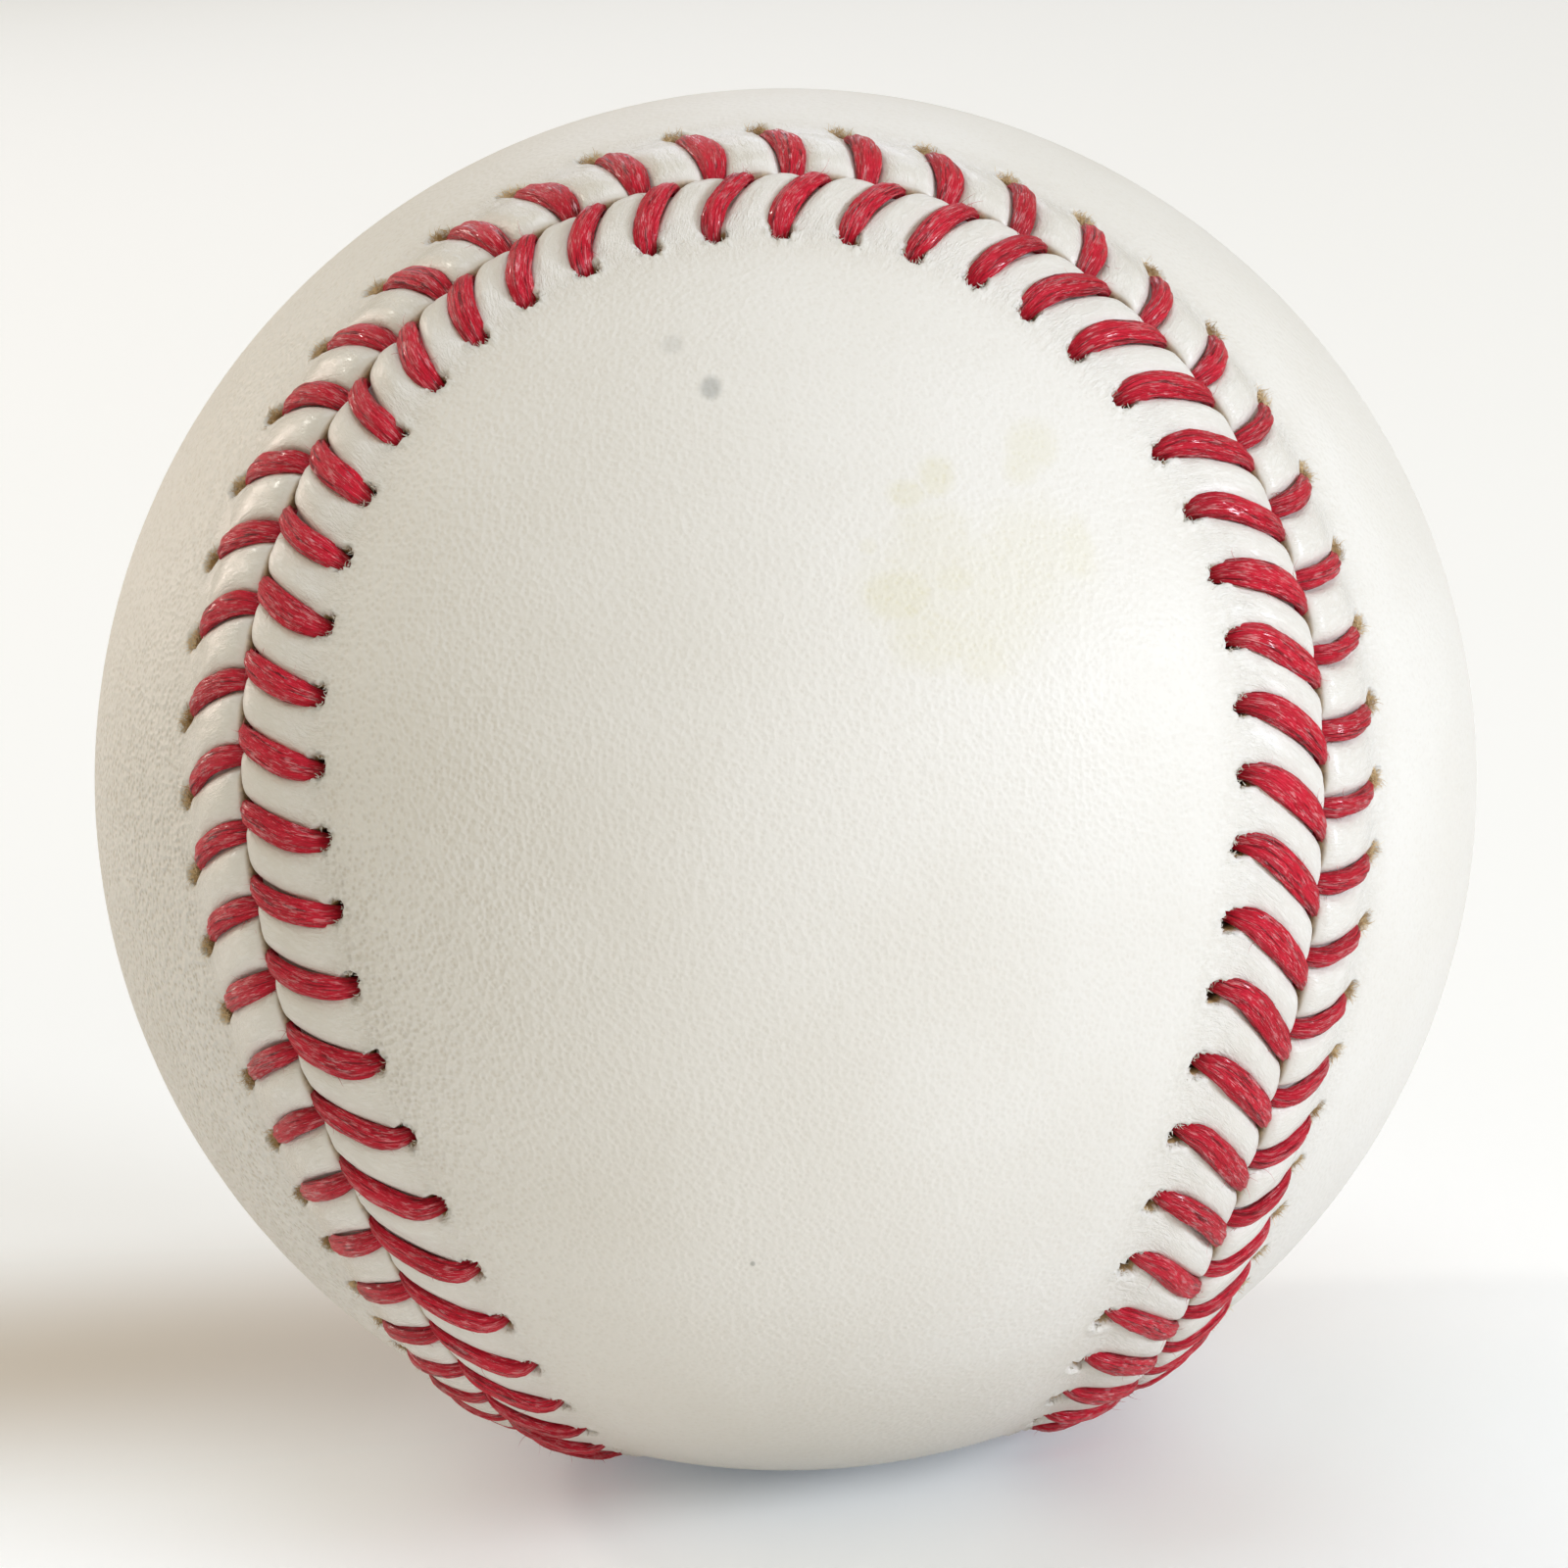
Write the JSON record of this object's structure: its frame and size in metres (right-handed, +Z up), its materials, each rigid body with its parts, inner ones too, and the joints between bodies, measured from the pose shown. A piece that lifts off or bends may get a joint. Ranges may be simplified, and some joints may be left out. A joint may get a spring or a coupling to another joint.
{
  "type": "baseball",
  "caption": "White leather ball with a raised red-laced seam, wound round a moulded core, for throwing, pitching, catching and batting.",
  "frame": {"origin": "centre of the ball, which is also the centre of its bounding box", "axes": "+Z up. The front cover panel's two lobes face -Y and +Y and its waist is underneath; the side cover panel's lobes face -X and +X and its waist is on top. -Y is the front, the side the picture shows"},
  "size_m": [0.0738, 0.0738, 0.0738],
  "materials": {
    "cork": "pressed cork and rubber, dull",
    "black_rubber": "moulded, dull",
    "red_rubber": "moulded, dull",
    "grey_wool": "wound yarn",
    "white_wool": "wound yarn",
    "cotton_yarn": "wound fine yarn set in cement",
    "front_leather": "fine pebble grain, satin",
    "side_leather": "fine pebble grain, satin",
    "red_thread": "waxed cotton, slight sheen"
  },
  "bodies": {
    "root": {"cork_core": "cork", "lower_half_shell": "black_rubber", "upper_half_shell": "black_rubber", "shell_gasket": "red_rubber", "rubber_jacket": "red_rubber", "first_winding": "grey_wool", "second_winding": "white_wool", "third_winding": "grey_wool", "finish_winding": "cotton_yarn", "front_cover_panel": "front_leather", "side_cover_panel": "side_leather", "first_lacing_strand": "red_thread", "second_lacing_strand": "red_thread"}
  },
  "joints": []
}
